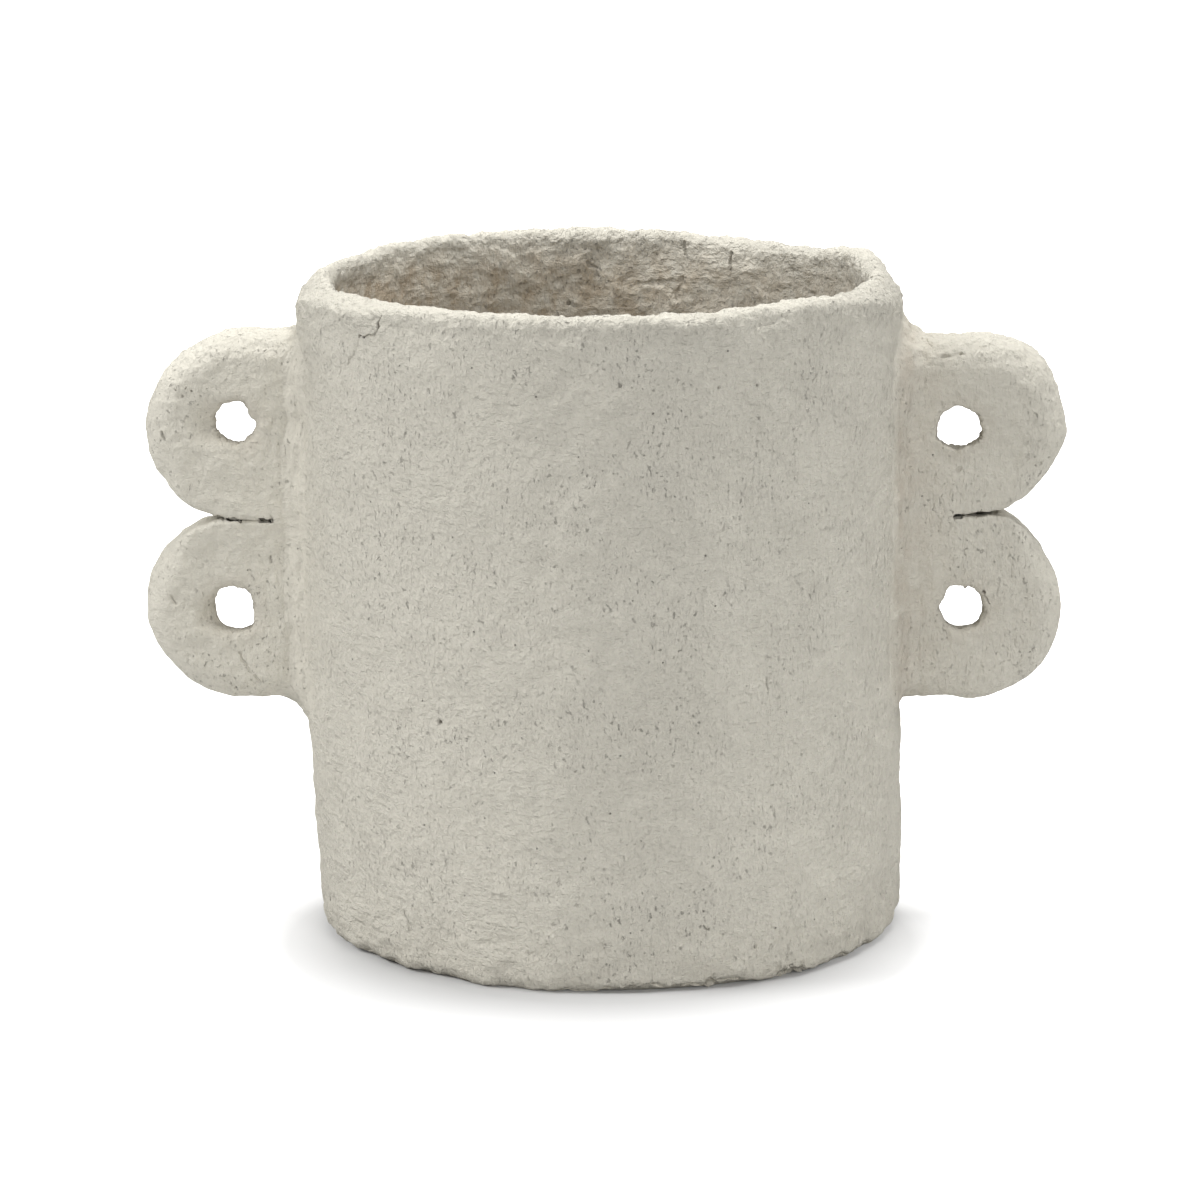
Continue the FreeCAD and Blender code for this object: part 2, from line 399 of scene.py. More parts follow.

# Marks on the wall: a crack down from the rim, pits, scratches, and flakes that stand up. Each is darkened
# by its last number, mostly painted shade in its hollow.
WALL_MARKS = [
    ([(-115.7, 324), (-117.3, 316.5)], 0.8, 1.6, 0.75),
    ([(-117.3, 316.5), (-122.3, 313.5), (-132.2, 312)], 0.7, 0.9, 0.3),
    ([(-132.2, 312), (-134, 304.5), (-141.4, 298)], 0.9, 0.6, 0.12),
    ([(-194.8, 296), (-195.3, 291.5)], 0.9, 0.8, 0.4),
    ([(-82.2, 130.3)], 1.3, 1.6, 0.65),
    ([(50.2, 31.4)], 1.1, 1.2, 0.45),
    ([(52.4, 31.9), (53, 30.8)], 0.8, 1.0, 0.4),
    ([(54.6, 30.6)], 1.0, 1.2, 0.5),
    ([(79.1, 18.4)], 1.2, 1.2, 0.5),
    ([(10.2, 297.2)], 0.9, 1.0, 0.6),
    ([(56.8, 294.5)], 0.9, 1.0, 0.5),
    ([(77, 294.5)], 0.9, 1.0, 0.5),
    ([(84.6, 151.5), (85.1, 145)], 0.7, 0.6, 0.3),
    ([(-109.2, 30), (-106, 22)], 0.8, 0.7, 0.3),
    ([(-91.4, 43), (-89.5, 40)], 0.8, 0.7, 0.3),
    ([(78.5, 320), (91.6, 322)], 3.0, -0.7, 0.0),
    ([(41.9, 324), (49.7, 325)], 2.5, -0.8, 0.0),
    ([(56.8, 2.6)], 5.0, 2.0, 0.05),
    ([(96.6, 2.1), (106.3, 1)], 5.0, 2.0, 0.05),
]

coat_section = section_points(
    [
        (LIP_RADIUS, 0, 0, 5 * MM),
        (POT_RADIUS, 0, FOOT_ROUNDING, 1.5 * MM),
        (POT_RADIUS, 30 * MM, 0, 1.95 * MM),
        (POT_RADIUS, SHOULDER_HEIGHT, 0, 4 * MM),
        (MID_WALL_RADIUS, SHOULDER_HEIGHT, 0, 40 * MM),
        (MID_WALL_RADIUS, FLOOR_UNDERSIDE, 0, 15 * MM),
        (LIP_RADIUS, FLOOR_UNDERSIDE, 0, 4 * MM),
    ]
)
coat = spun(coat_section, 18, (1, 0, 0), (0, 0, 1))
stain_and_shade_layer = coat.verts.layers.float.new("stain_and_shade")
coat.verts.layers.float.new("hollow_shade")
for vert in coat.verts:
    place = vert.co.copy()
    outward = Vector((place.x, place.y, 0)).normalized()
    radius = place.xy.length
    outside = ease((radius - MID_WALL_RADIUS) / (4 * MM))
    place -= outward * (POT_RADIUS - wall_radius(place.z)) * outside
    direction = outward if place.z > SHOULDER_HEIGHT - 2 * MM else vert.normal
    if radius > MID_WALL_RADIUS + 1 * MM:
        near_foot = ease(1 - place.z / (45 * MM))
        place += direction * wall_relief(vert.co) * (1 + near_foot)
        edge = ease(1 - place.z / (12 * MM)) * ease((radius - POT_RADIUS + 14 * MM) / (8 * MM))
        place.z += edge * (foot_chips(vert.co) + 1.0 * MM)
        vert[stain_and_shade_layer] = 0.08 * near_foot
    place.z = max(place.z, 0)
    vert.co = leaned(place)
worked_in(coat, WALL_MARKS, laid_flat(POT_RADIUS, MID_WALL_RADIUS, 2 * POT_RADIUS))
for vert in coat.verts:
    vert.co.z = max(vert.co.z, 0)
wall_coat = piece_from(coat, "wall_coat", wall_finish)
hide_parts("pot_wall")
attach(wall_coat, "root")

# Inner layer of the wall: the first half of the wall's thickness, torn paper pulp left as the fingers
# pressed it, never trowelled. It is flaky and dented all over, and tinted brown, partly its own colour and
# partly painted shade, more on the left and less near the rim.
INSIDE_MARKS = [
    ([(-413.9, 315), (-417.5, 313)], 1.6, 1.6, 0.3),
    ([(-419.1, 309.5)], 1.8, 1.8, 0.35),
    ([(-403.2, 294)], 1.6, 1.8, 0.35),
    ([(375.4, 327), (374.9, 321)], 0.9, 1.0, 0.35),
    ([(348, 323), (347.5, 314)], 1.1, 1.2, 0.4),
    ([(399.9, 304.6), (375.8, 307), (378.4, 297.4)], 1.6, 1.0, 0.1),
]
INSIDE_STAIN_AND_SHADE = 0.75
PALE_EDGE = 22 * MM


def inside_stain_and_shade(place):
    """How much the inside is tinted brown: partly its own colour and partly painted shade, more on the left,
    fading out near the rim.
    """
    return (INSIDE_STAIN_AND_SHADE - 0.35 * place.x / INNER_RADIUS) * ease((CROWN_HEIGHT - place.z) / PALE_EDGE)


def crumple(place):
    """The inside's relief: flakes and folds of torn pulp."""
    broad = 1.8 * MM * wobble(place, 46 * MM) + 1.6 * MM * (folds(place, 28 * MM) - 0.6)
    flat = Vector((place.x * 0.5 + 5, place.y * 0.5, place.z))
    flakes = 1.0 * MM * (folds(flat, 8 * MM) - 0.6) * ease(0.5 + 0.8 * wobble(place.yzx, 24 * MM))
    crumbs = 0.7 * MM * wobble(place, 13 * MM) + 0.8 * MM * abs(wobble(place, 5 * MM))
    return broad + flakes + crumbs - 0.4 * MM


layer_section = section_points(
    [
        (INNER_RADIUS, FLOOR_UNDERSIDE, 0, 10 * MM),
        (MID_WALL_RADIUS, FLOOR_UNDERSIDE, 0, 40 * MM),
        (MID_WALL_RADIUS, SHOULDER_HEIGHT, 0, 4 * MM),
        (INNER_RADIUS, SHOULDER_HEIGHT, 0, 1.1 * MM),
        (INNER_RADIUS, SHOULDER_HEIGHT - 65 * MM, 0, 2.6 * MM),
    ]
)
layer = spun(layer_section, 20, (1, 0, 0), (0, 0, 1))
stain_and_shade_layer = layer.verts.layers.float.new("stain_and_shade")
layer.verts.layers.float.new("hollow_shade")
for vert in layer.verts:
    place = vert.co.copy()
    if place.xy.length < INNER_RADIUS + 1 * MM:
        inward = -Vector((place.x, place.y, 0)).normalized()
        place += inward * crumple(vert.co)
    vert[stain_and_shade_layer] = inside_stain_and_shade(place)
    vert.co = leaned(place)
worked_in(layer, INSIDE_MARKS, laid_flat(INNER_RADIUS, 0, MID_WALL_RADIUS))
wall_layer = piece_from(layer, "wall_inner_layer", wall_finish)
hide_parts("pot_wall")
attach(wall_layer, "root")

# Floor: a thick disc of the same raw pulp that lies on the turned-in foot, patted flat by hand.
floor_finish = pulp_finish("floor_pulp", PALE_PULP, DUSK_PULP, BROWN_STAIN_AND_SHADE, 1.0 * MM)
floor_section = section_points(
    [
        (0.4 * MM, FLOOR_UNDERSIDE, 0, 12 * MM),
        (INNER_RADIUS, FLOOR_UNDERSIDE, 0, 5 * MM),
        (INNER_RADIUS, FLOOR_TOP, 0, 2 * MM),
        (0.4 * MM, FLOOR_TOP, 0, 14 * MM),
    ]
)
disc = spun(floor_section, 14, (1, 0, 0), (0, 0, 1))
stain_and_shade_layer = disc.verts.layers.float.new("stain_and_shade")
for vert in disc.verts:
    place = vert.co.copy()
    if place.z > FLOOR_TOP - 1 * MM:
        place.z += 0.8 * crumple(vert.co)
    # The floor inside is tinted like the inside wall: its own brown and painted shade.
    vert[stain_and_shade_layer] = INSIDE_STAIN_AND_SHADE
    vert.co = leaned(place)
floor_disc = piece_from(disc, "floor_disc_pulp", floor_finish)
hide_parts("floor_disc")
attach(floor_disc, "root")

# Rim: a strip of wet pulp pressed over the wall's raw edge and rounded outwards with the thumb. Its crown
# rises and falls, sinks a little at the two sides, and is crumbly on top.
OUTER_ROUNDING = 4 * MM
INNER_ROUNDING = 5 * MM
RIM_MARKS = [([(192, 330.5)], 1.3, 2.5, 0.85), ([(205, 329.5), (208, 329)], 0.8, 1.2, 0.6)]


def rim_relief(place):
    """The rim's own relief: thumb marks and crumbs."""
    thumbs = 0.8 * MM * wobble(place, 30 * MM) + 0.8 * MM * wobble(place, 12 * MM)
    crumbs = 1.0 * MM * abs(wobble(place, 6 * MM)) + 0.6 * MM * abs(wobble(place, 2.6 * MM))
    return thumbs + crumbs - 0.5 * MM


rim_section = section_points(
    [
        (INNER_RADIUS, SHOULDER_HEIGHT, 0, 4 * MM),
        (POT_RADIUS, SHOULDER_HEIGHT, 0, 0.9 * MM),
        (POT_RADIUS, CROWN_HEIGHT, OUTER_ROUNDING, 0.8 * MM),
        (INNER_RADIUS, CROWN_HEIGHT, INNER_ROUNDING, 0.9 * MM),
    ]
)
rim = spun(rim_section, 38, (1, 0, 0), (0, 0, 1))
stain_and_shade_layer = rim.verts.layers.float.new("stain_and_shade")
rim.verts.layers.float.new("hollow_shade")
for vert in rim.verts:
    place = vert.co.copy()
    outward = Vector((place.x, place.y, 0)).normalized()
    radius = place.xy.length
    outer_share = ease((radius - INNER_RADIUS) / (POT_RADIUS - INNER_RADIUS))
    rise = ease((place.z - SHOULDER_HEIGHT) / (9 * MM))
    if radius < INNER_RADIUS + 0.5 * MM:
        under, side = crumple(vert.co), -outward
    else:
        under, side = wall_relief(vert.co) * outer_share + crumple(vert.co) * (1 - outer_share), outward
    at_seam = min(abs(radius - INNER_RADIUS), abs(radius - POT_RADIUS)) < 0.5 * MM
    if place.z > SHOULDER_HEIGHT + 0.1 * MM or at_seam:
        toward = side.lerp(vert.normal, rise)
        place += toward * (under * (1 - 0.7 * rise) + rim_relief(vert.co) * rise)
    vert[stain_and_shade_layer] = inside_stain_and_shade(vert.co) * (1 - outer_share)
    vert.co = leaned(place)
worked_in(rim, WALL_MARKS, laid_flat(POT_RADIUS, MID_WALL_RADIUS, 2 * POT_RADIUS))
worked_in(rim, INSIDE_MARKS, laid_flat(INNER_RADIUS, 0, MID_WALL_RADIUS))
worked_in(rim, RIM_MARKS, laid_flat(MID_WALL_RADIUS, INNER_RADIUS, MID_WALL_RADIUS + 4 * MM))
rim_band = piece_from(rim, "rim_band_pulp", wall_finish)
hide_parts("rim_band")
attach(rim_band, "root")

# Finger rings: four thick lugs of pulp, two on each side, pressed into the wall one above the other. A hole
# is pushed through each from the front, so it is tight in front, opens out behind and has a ragged mouth.
RING_BOXES = {name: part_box(name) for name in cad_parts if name.endswith("_ring")}
GREY_STAIN_AND_SHADE = (0.44, 0.385, 0.315, 1.0)
ring_finish = pulp_finish("ring_pulp", PALE_PULP, DUSK_PULP, GREY_STAIN_AND_SHADE, 1.1 * MM)
RING_HALF = 47 * MM
RING_THICK = 23 * MM
HOLE_RADIUS = 10.8 * MM
BACK_MOUTH = 19 * MM
ROUND_PART = 22 * MM
FREE_EDGE = 14 * MM
SLIT_EDGE = 2.2 * MM
SLIT_GAP = 0.5 * MM
CLOSED_SLIT_EDGE = 0.4 * MM
SLIT_HEIGHTS = {-1: 208.7 * MM, 1: 211 * MM}
SLIT_STARTS = {-1: 162 * MM, 1: 176 * MM}
SLIT_SLOPE = 0.07
SLIT_TILT = 0.09
# How much brown tint each pair's roots get, partly painted shade: much more on the right pair.
ROOT_STAIN_AND_SHADE = {-1: 0.0, 1: 0.25}

# What the hand made of each ring, in millimetres: where its middle moved to, across and up, how far it
# goes up or down on its free side, how near the slit its edge turns crisp, where its hole moved to, how round
# the hole's front mouth is, its bumps and its hole's bumps, each an angle, a half width in degrees and a
# height, the dips in its front, each how far across and up from the hole, a radius and a depth, and the
# marks on its front.
RING_HANDWORK = {
    "upper_left_ring": {
        "shift": (3.6, -2.0),
        "free_side": 45.4,
        "crisp": 0.6,
        "hole": (-2.4, 3.2),
        "mouth": 4.0,
        "bumps": [(52, 28, 3.0), (82, 24, 1.8), (120, 30, -1.0), (215, 30, 1.5), (240, 25, 2.0)],
        "hole_bumps": [(30, 26, -1.8), (78, 26, 2.2), (112, 34, 2.0), (200, 60, -0.6)],
        "dips": [(-11, 1, 15, 5.0)],
        "marks": [
            ([(-209.5, 274)], 0.8, 0.9, 0.5),
            ([(-207, 271.5)], 0.7, 0.7, 0.4),
            ([(-204.5, 275)], 0.8, 0.9, 0.5),
            ([(-201, 273.5)], 0.8, 0.9, 0.5),
            ([(-217.2, 253), (-215.8, 250)], 0.8, 0.8, 0.4),
        ],
    },
    "lower_left_ring": {
        "shift": (2.4, 0.2),
        "free_side": 45.2,
        "crisp": 0.6,
        "hole": (-2.8, 1.6),
        "mouth": 5.0,
        "bumps": [(228, 40, -2.2), (150, 25, 0.8)],
        "hole_bumps": [(0, 50, -2.4), (125, 26, 0.8), (310, 20, 0.8), (190, 35, -0.9)],
        "dips": [(-9, -2, 13, 6.5)],
        "marks": [
            ([(-179.9, 141.3), (-178.4, 137.2), (-176.7, 135.6)], 0.9, 0.9, 0.13),
            ([(-176.6, 134), (-176.2, 131.5), (-174.5, 130.5)], 0.8, 0.7, 0.08),
            ([(-172.5, 129), (-169.1, 124.9)], 0.9, 0.9, 0.13),
            ([(-213.3, 169.8), (-211.9, 165.8)], 0.8, 0.7, 0.25),
            ([(-163.6, 190.9), (-163.7, 186.8)], 0.7, 0.8, 0.4),
            ([(-183, 123)], 1.0, 0.9, 0.5),
        ],
    },
    "upper_right_ring": {
        "shift": (2.2, -3.0),
        "free_side": 45.0,
        "crisp": 0.5,
        "hole": (-6.4, 1.8),
        "mouth": 2.0,
        "bumps": [(36, 28, 3.2), (60, 24, 2.0), (357, 16, 0.9), (318, 18, 0.8), (298, 22, 2.0)],
        "hole_bumps": [(0, 180, 0.9), (50, 20, 0.5), (95, 34, 1.3), (135, 24, 0.8), (215, 24, 0.6), (290, 30, -0.4)],
        "dips": [],
        "marks": [
            ([(168.8, 289.9), (172.2, 290.4)], 1.0, 1.0, 0.2),
            ([(178.2, 291.4)], 1.1, 1.1, 0.25),
            ([(163.3, 295.4), (160.3, 297.4)], 1.2, 1.2, 0.25),
            ([(178, 234.2)], 1.8, 1.0, 0.12),
            ([(216.1, 235.7)], 0.8, 0.8, 0.3),
            ([(219.1, 236.2)], 0.8, 0.8, 0.3),
            ([(223, 239.7)], 0.8, 0.8, 0.4),
        ],
    },
    "lower_right_ring": {
        "shift": (1.6, 0.4),
        "free_side": 45.6,
        "crisp": 0.5,
        "hole": (-2.6, 2.0),
        "mouth": 3.0,
        "bumps": [(62, 28, 2.4), (278, 20, 0.8), (320, 25, 0.8)],
        "hole_bumps": [(20, 16, -0.8), (84, 9, -1.6), (125, 30, 2.0), (175, 30, 1.5), (330, 16, -0.6)],
        "dips": [(10, 0, 10, 2.0)],
        "marks": [
            ([(191.3, 171.8)], 1.1, 1.8, 0.75),
            ([(192.3, 169), (193.9, 166)], 0.7, 0.9, 0.35),
        ],
    },
}


# Hollows along each pair's slit, where the two rings don't quite touch, pushed in and darkened with
# painted shade in the gap.
SLIT_MARKS = {
    -1: [
        ([(-193.5, 210.2), (-187, 209.3)], 0.8, 1.5, 0.7),
        ([(-185, 208.8), (-178, 208.6)], 0.8, 1.5, 0.75),
        ([(-168.4, 208.4), (-163, 208.2)], 1.3, 3.0, 0.85),
    ],
    1: [
        ([(177, 210), (179.3, 210.2)], 1.2, 2.5, 0.85),
        ([(182.3, 211), (185.5, 211.2)], 0.8, 1.5, 0.7),
        ([(189, 211.4), (194, 211.6)], 0.7, 1.2, 0.5),
    ],
}


def ring_relief(place):
    """A ring's own relief: soft dents from the fingers, lumps and grain."""
    dents = 0.7 * MM * wobble(place, 38 * MM) + 0.35 * MM * wobble(place, 15 * MM)
    return dents + 0.35 * MM * wobble(place, 7 * MM) + 0.2 * MM * wobble(place, 3.2 * MM)


def eased_edge(reach, depth, edge):
    """A point of the ring's section after its outer edge's rounding has changed from FREE_EDGE to edge."""
    face = 1 if depth > 0 else -1
    past_face = reach - (RING_HALF - FREE_EDGE)
    past_band = abs(depth) - (RING_THICK - FREE_EDGE)
    if past_face > 0 and past_band > 0:
        angle = math.atan2(past_face, past_band)
        return (
            RING_HALF - edge + edge * math.sin(angle),
            face * (RING_THICK - edge + edge * math.cos(angle)),
        )
    if past_face > 0:
        return reach, depth * (RING_THICK - edge) / (RING_THICK - FREE_EDGE)
    share = max(reach - ROUND_PART, 0) / (RING_HALF - FREE_EDGE - ROUND_PART)
    return min(reach, ROUND_PART) + share * (RING_HALF - edge - ROUND_PART), depth


def bumped(heading, bumps):
    """How far the bumps stand out at a heading."""
    turn = math.degrees(math.atan2(heading.z, heading.x))
    total = 0
    for angle, half_width, height in bumps:
        total += height * MM * ease(1 - abs(math.remainder(turn - angle, 360)) / half_width)
    return total


def front_spot(place):
    """A place on a ring's front, seen straight on, or nothing further back."""
    return place.xz if place.y < -10 * MM else None


def ring_piece(node):
    """One ring: a round ring about its hole, drawn out square on the wall's side, its edge crisp where it
    meets the other ring."""
    low, high = RING_BOXES[node]
    hand = RING_HANDWORK[node]
    side = 1 if high.x > 0 else -1
    level = 1 if "upper" in node else -1
    middle = Vector(((high.x if side > 0 else low.x) - side * RING_HALF, 0, (low.z + high.z) / 2))
    middle += Vector((hand["shift"][0], 0, hand["shift"][1])) * MM
    hole = middle + Vector((hand["hole"][0], 0, hand["hole"][1])) * MM
    off_hole = middle - hole
    root = side * (POT_RADIUS - 6 * MM) - hole.x
    section = section_points(
        [
            (HOLE_RADIUS, -RING_THICK, hand["mouth"] * MM, 1.0 * MM),
            (RING_HALF, -RING_THICK, FREE_EDGE, 1.1 * MM),
            (RING_HALF, RING_THICK, FREE_EDGE, 1.1 * MM),
            (BACK_MOUTH, RING_THICK, 6 * MM, 1.2 * MM),
            (HOLE_RADIUS, -0.7 * RING_THICK, 2 * MM, 1.2 * MM),
        ]
    )
    bm = spun(section, 12, (1, 0, 0), (0, 1, 0), hole)
    stain_and_shade = bm.verts.layers.float.new("stain_and_shade")
    bm.verts.layers.float.new("hollow_shade")
    for vert in bm.verts:
        out = vert.co - hole
        depth = out.y
        out.y = 0
        heading = out.normalized()
        toward_pair = -level * heading.z
        along = heading.dot(off_hole)
        span = along + math.sqrt(RING_HALF**2 - off_hole.length_squared + along**2)
        if side * (heading.x * span - off_hole.x) < 0:
            up = 1 if heading.z > 0 else -1
            to_side = (off_hole.z + up * RING_HALF) / heading.z if abs(heading.z) > 1e-6 else math.inf
            to_root = root / heading.x if side * heading.x < -1e-6 else math.inf
            span = min(to_side, to_root)
        span += bumped(heading, hand["bumps"])
        past_start = side * (hole.x + heading.x * span) - SLIT_STARTS[side]
        open_share = ease(past_start / (4 * MM) + 0.5)
        crisp_from = hand["crisp"] if side * heading.x > 0 else 0.5
        crisp = ease((toward_pair - crisp_from) / (0.92 - crisp_from))
        pair_edge = CLOSED_SLIT_EDGE + (SLIT_EDGE - CLOSED_SLIT_EDGE) * open_share
        reach, depth = eased_edge(out.length, depth, FREE_EDGE + (pair_edge - FREE_EDGE) * crisp)
        share = (reach - HOLE_RADIUS) / (RING_HALF - HOLE_RADIUS)
        inner = HOLE_RADIUS + bumped(heading, hand["hole_bumps"])
        inner += 0.4 * MM * wobble(vert.co, 5 * MM) + 0.35 * MM * wobble(vert.co, 2 * MM)
        if reach < ROUND_PART:
            far = inner + (reach - HOLE_RADIUS) / (ROUND_PART - HOLE_RADIUS) * (ROUND_PART - inner)
        else:
            far = ROUND_PART + (reach - ROUND_PART) / (RING_HALF - ROUND_PART) * (span - ROUND_PART)
        place = hole + heading * far + Vector((0, depth, 0))
        height = (place.z - middle.z) * level
        free_side = hand["free_side"] * MM
        if height < 0:
            uneven = SLIT_GAP * (1 + wobble(Vector((place.x, 0, 0)), 6 * MM))
            slit = SLIT_HEIGHTS[side] + SLIT_SLOPE * side * (place.x - middle.x)
            slit -= SLIT_TILT * (place.y + RING_THICK)
            free_side = level * (middle.z - slit) - uneven * open_share + SLIT_GAP * (1 - open_share)
        place.z = middle.z + level * height * free_side / RING_HALF
        for across, up, radius, dip in hand["dips"]:
            off_dip = (place.xz - hole.xz - Vector((across, up)) * MM).length / (radius * MM)
            place.y += dip * MM * ease(1 - off_dip) * ease(-depth / RING_THICK)
        off_root = side * place.x - POT_RADIUS
        # Brown tint round the hole and down its bore, and at the roots: partly the pulp's own brown, partly painted
        # shade in the hole and the corner.
        vert[stain_and_shade] = max(0.25 * ease(1 - share * 3), ROOT_STAIN_AND_SHADE[side] * ease(1.2 - off_root / (28 * MM)))
        vert.co = place
    bm.normal_update()
    moves = []
    for vert in bm.verts:
        crumbs = 0.9 * MM * abs(wobble(vert.co, 5 * MM)) + 0.5 * MM * abs(wobble(vert.co, 2.4 * MM))
        on_top = ease(2 * vert.normal.z - 0.5) if level > 0 else 0
        moves.append((vert, vert.normal * (ring_relief(vert.co) + crumbs * on_top)))
    for vert, move in moves:
        vert.co += move
    worked_in(bm, hand["marks"] + SLIT_MARKS[side], front_spot)
    piece = piece_from(bm, f"{node}_pulp", ring_finish)
    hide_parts(node)
    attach(piece, "root")
    return middle.z + level * hand["free_side"] * MM


ring_ends = {node: ring_piece(node) for node in sorted(RING_BOXES)}

# Root fillets: wet pulp worked with a finger into the corner round each pair of rings. It is smeared
# unevenly, so it is deep in some places and nearly bare in others. It is tinted brown where it is deep, in
# the concave corner, much more on the right pair: partly the pulp's own brown, partly painted shade.
FILLET_SINK = 0.7 * MM
PATH_CORNER = 13 * MM


def along_path(path, share):
    """A point a share of the way round a closed path, and the way out from it."""
    spot = share * len(path)
    index = int(spot) % len(path)
    ahead = path[(index + 1) % len(path)]
    here = path[index].lerp(ahead, spot - int(spot))
    along = (ahead - path[index]).normalized()
    return here, Vector((along.y, -along.x))


def fillet_piece(side, front, top, bottom, stain_and_shade_share):
    """One pair's fillet. front, top and bottom are how far it reaches there, over the wall and the ring."""
    sign = 1 if side == "right" else -1
    high = ring_ends[f"upper_{side}_ring"]
    low = ring_ends[f"lower_{side}_ring"]
    corners = [(-RING_THICK, low), (RING_THICK, low), (RING_THICK, high), (-RING_THICK, high)]
    path = section_points([(y, z, PATH_CORNER, 1.2 * MM) for y, z in corners])
    rows = 26
    angles = [math.pi / 2 * k / rows for k in range(rows + 1)]
    arc = [Vector((2 - math.sin(a), 1 - math.cos(a))) for a in angles]
    core = [Vector((0.8, 0.5)), Vector((0.8, -0.2)), Vector((1.5, -0.2))]
    bm = spun(arc + core, 20, (0, 1, 0), (1, 0, 0))
    stain_and_shade = bm.verts.layers.float.new("stain_and_shade")
    for vert in bm.verts:
        share = (math.atan2(vert.co.z, vert.co.y) / math.tau) % 1
        off_ring = math.hypot(vert.co.y, vert.co.z) - 1
        off_wall = vert.co.x
        here, outward = along_path(path, share)
        upper = max(outward.y, 0) ** 2
        lower = max(-outward.y, 0) ** 2
        reach = Vector(front) * (1 - upper - lower) + Vector(top) * upper + Vector(bottom) * lower
        reach *= 1 - 0.4 * max(outward.x, 0) ** 2
        wander = Vector((sign, here.x, here.y))
        reach *= 1 + 0.2 * wobble(wander, 30 * MM) + 0.08 * wobble(wander, 11 * MM)
        ring_share = ease(1 - off_ring)
        wall_share = ease(1 - off_wall)
        spot = here + outward * (reach.x * off_ring - FILLET_SINK * ring_share)
        wall_x = math.sqrt(wall_radius(spot.y) ** 2 - min(spot.x**2, POT_RADIUS**2 / 2))
        place = Vector((sign * (wall_x + reach.y * off_wall - FILLET_SINK * wall_share), spot.x, spot.y))
        side_way = Vector((0, outward.x, outward.y))
        wall_way = Vector((place.x, place.y, 0)).normalized()
        if off_ring >= 0 and off_wall >= 0:
            smeared = Vector((place.x, place.y, place.z * 0.4))
            own = 0.35 * MM * wobble(smeared, 7 * MM) + 0.25 * MM * wobble(smeared, 3.5 * MM)
            place += side_way * ring_relief(place) * ring_share + wall_way * wall_relief(place) * wall_share
            place += (side_way + wall_way) * own * 3 * ring_share * wall_share * min(reach.length / 0.02, 1)
            # Brown tint in the fillet's deep middle and near the ring: partly its own brown, partly painted shade in
            # the corner.
            vert[stain_and_shade] = stain_and_shade_share * max(ease(min(off_ring, off_wall) * 5), 0.6 * ring_share)
        vert.co = place + lean(place)
    piece = piece_from(bm, f"{side}_root_fillet_pulp", ring_finish)
    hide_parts(f"{side}_root_fillet")
    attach(piece, "root")


fillet_piece("left", (18 * MM, 12 * MM), (4 * MM, 5 * MM), (15 * MM, 16 * MM), 0.05)
fillet_piece("right", (27 * MM, 16 * MM), (18 * MM, 18 * MM), (3 * MM, 3 * MM), 0.5)

# Stage: a wide floor that keeps the pot's soft shadow and turns plain white further off. It glows for the
# camera alone, as painted light: the glow grows in rings round a point just behind the pot's middle, so it
# pales the pot's shadow at its sides and back, leaves it dark in front, and whitens the floor further off.
bpy.ops.mesh.primitive_plane_add(size=14, location=(0, 0, -0.1 * MM))
studio_floor = bpy.context.object
studio_floor.name = "studio_floor"
floor_paint = bpy.data.materials.new("studio_floor")
floor_paint.use_nodes = True
floor_tree = floor_paint.node_tree
floor_shader = floor_tree.nodes["Principled BSDF"]
floor_shader.inputs["Base Color"].default_value = (0.58, 0.58, 0.58, 1.0)
floor_shader.inputs["Roughness"].default_value = 1.0
floor_shader.inputs["Specular IOR Level"].default_value = 0.0
floor_shader.inputs["Emission Color"].default_value = (1.0, 1.0, 1.0, 1.0)
floor_place = new_node(floor_tree, "ShaderNodeTexCoord").outputs["Object"]
floor_place = new_node(floor_tree, "ShaderNodeVectorMath", {0: floor_place, 1: (0.0, 0.05, 0.0)}).outputs[0]
floor_far = new_node(floor_tree, "ShaderNodeVectorMath", {0: floor_place}, operation="LENGTH").outputs[1]
near_lift = between(floor_tree, floor_far, 0.11, 0.2, 0.0, 0.56)
side_lift = between(floor_tree, floor_far, 0.155, 0.18, 0.0, 0.22)
far_lift = between(floor_tree, floor_far, 0.22, 0.8, 0.0, 0.7)
floor_lift = worked_out(floor_tree, "ADD", worked_out(floor_tree, "ADD", near_lift, side_lift), far_lift)
floor_rays = new_node(floor_tree, "ShaderNodeLightPath")
floor_glow = worked_out(floor_tree, "MULTIPLY", floor_rays.outputs["Is Camera Ray"], floor_lift)
floor_tree.links.new(floor_glow, floor_shader.inputs["Emission Strength"])
studio_floor.data.materials.append(floor_paint)

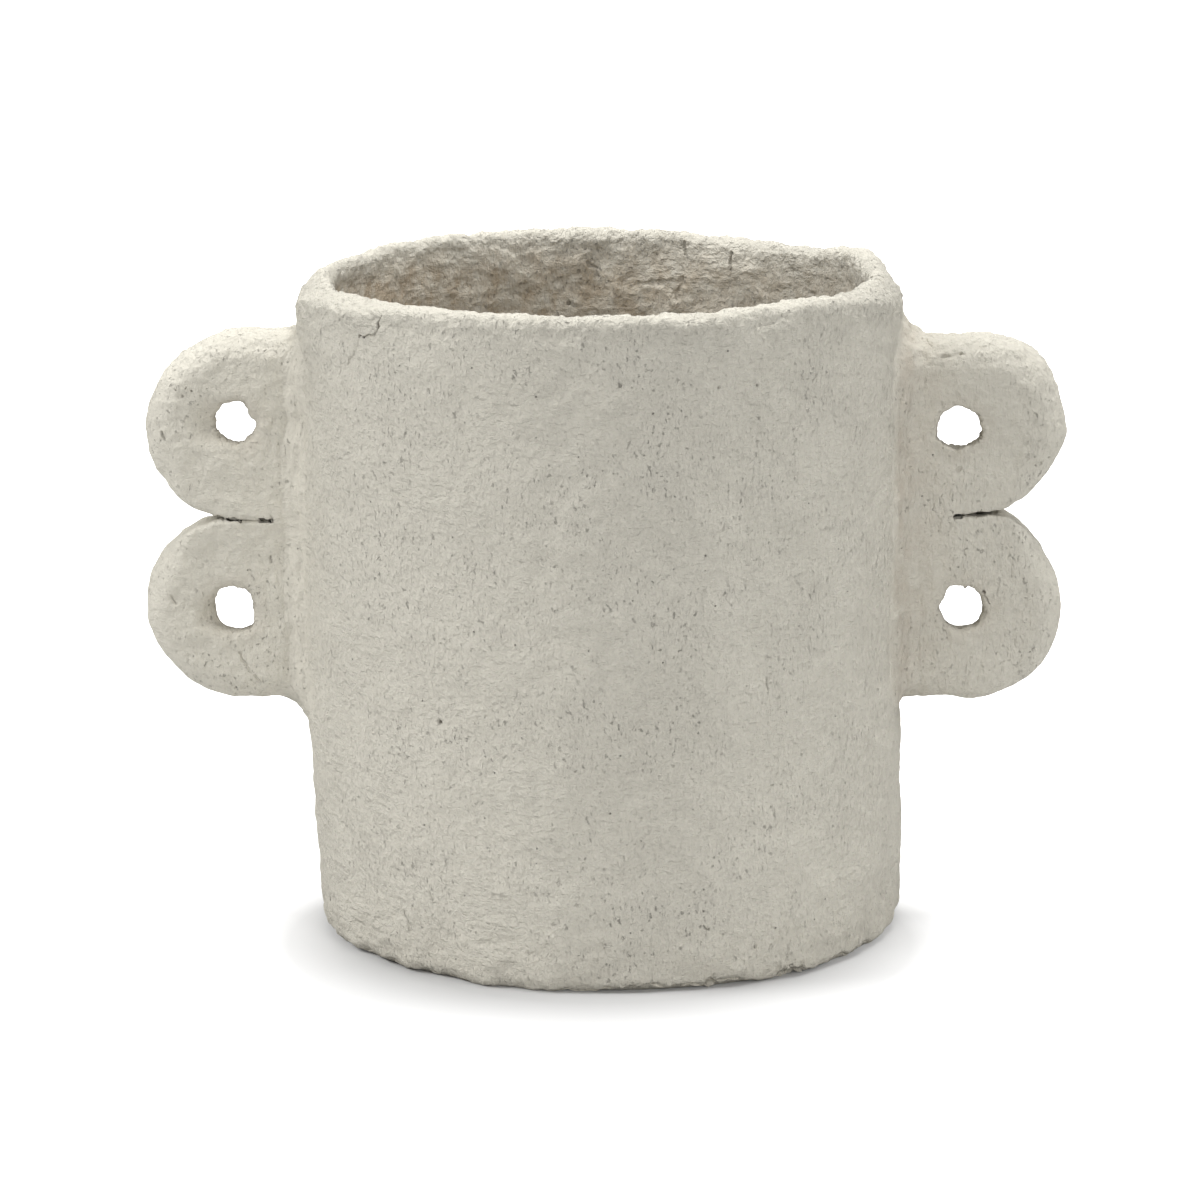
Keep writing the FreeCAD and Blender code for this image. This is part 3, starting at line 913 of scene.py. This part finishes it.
# Light: a white room, a soft light high on the left, weaker ones on the right and in front, one overhead and
# one behind that lights the rim, the ring tops and the floor.
ROOM_LIGHT = 0.22
room = bpy.data.worlds.new("white_room")
bpy.context.scene.world = room
room.use_nodes = True
room_tree = room.node_tree
room_background = room_tree.nodes["Background"]
room_background.inputs["Color"].default_value = (1.0, 1.0, 1.0, 1.0)
room_rays = new_node(room_tree, "ShaderNodeLightPath")
seen_rays = worked_out(
    room_tree, "MAXIMUM", room_rays.outputs["Is Camera Ray"], room_rays.outputs["Is Glossy Ray"]
)
seen_rays = worked_out(room_tree, "MAXIMUM", seen_rays, room_rays.outputs["Is Transmission Ray"])
room_strength = between(room_tree, seen_rays, 0.0, 1.0, ROOM_LIGHT, 1.0)
room_tree.links.new(room_strength, room_background.inputs["Strength"])


def softbox(name, place, size, watts, target=(0, 0, 0.17)):
    """A square soft light that faces a target."""
    lamp = bpy.data.lights.new(name, "AREA")
    lamp.size = size
    lamp.energy = watts
    light = bpy.data.objects.new(name, lamp)
    light.location = place
    light.rotation_euler = (Vector(target) - Vector(place)).to_track_quat("-Z", "Y").to_euler()
    bpy.context.scene.collection.objects.link(light)


softbox("left_light", (-2.3, -0.4, 1.9), 1.0, 53)
softbox("right_light", (2.6, 0.4, 0.9), 1.0, 19)
softbox("front_light", (0.9, -2.8, 1.3), 1.2, 33)
softbox("top_light", (0.2, 0.0, 2.6), 1.0, 51)
softbox("back_light", (0.0, 2.6, 1.9), 2.0, 32)

# Camera: level with the photograph's view, a little above the rim.
FRAME_PIXELS = 1200
FOCAL_PIXELS = 5080
CAMERA_DISTANCE = 2.5
CAMERA_HEIGHT = 0.69
CAMERA_PITCH = math.radians(11.9)
camera_data = bpy.data.cameras.new("camera")
camera_data.lens = camera_data.sensor_width * FOCAL_PIXELS / FRAME_PIXELS
camera = bpy.data.objects.new("camera", camera_data)
camera.location = (0, -CAMERA_DISTANCE, CAMERA_HEIGHT)
camera.rotation_euler = (math.pi / 2 - CAMERA_PITCH, 0, 0)
bpy.context.scene.collection.objects.link(camera)
bpy.context.scene.camera = camera
bpy.context.scene.view_settings.view_transform = "Standard"
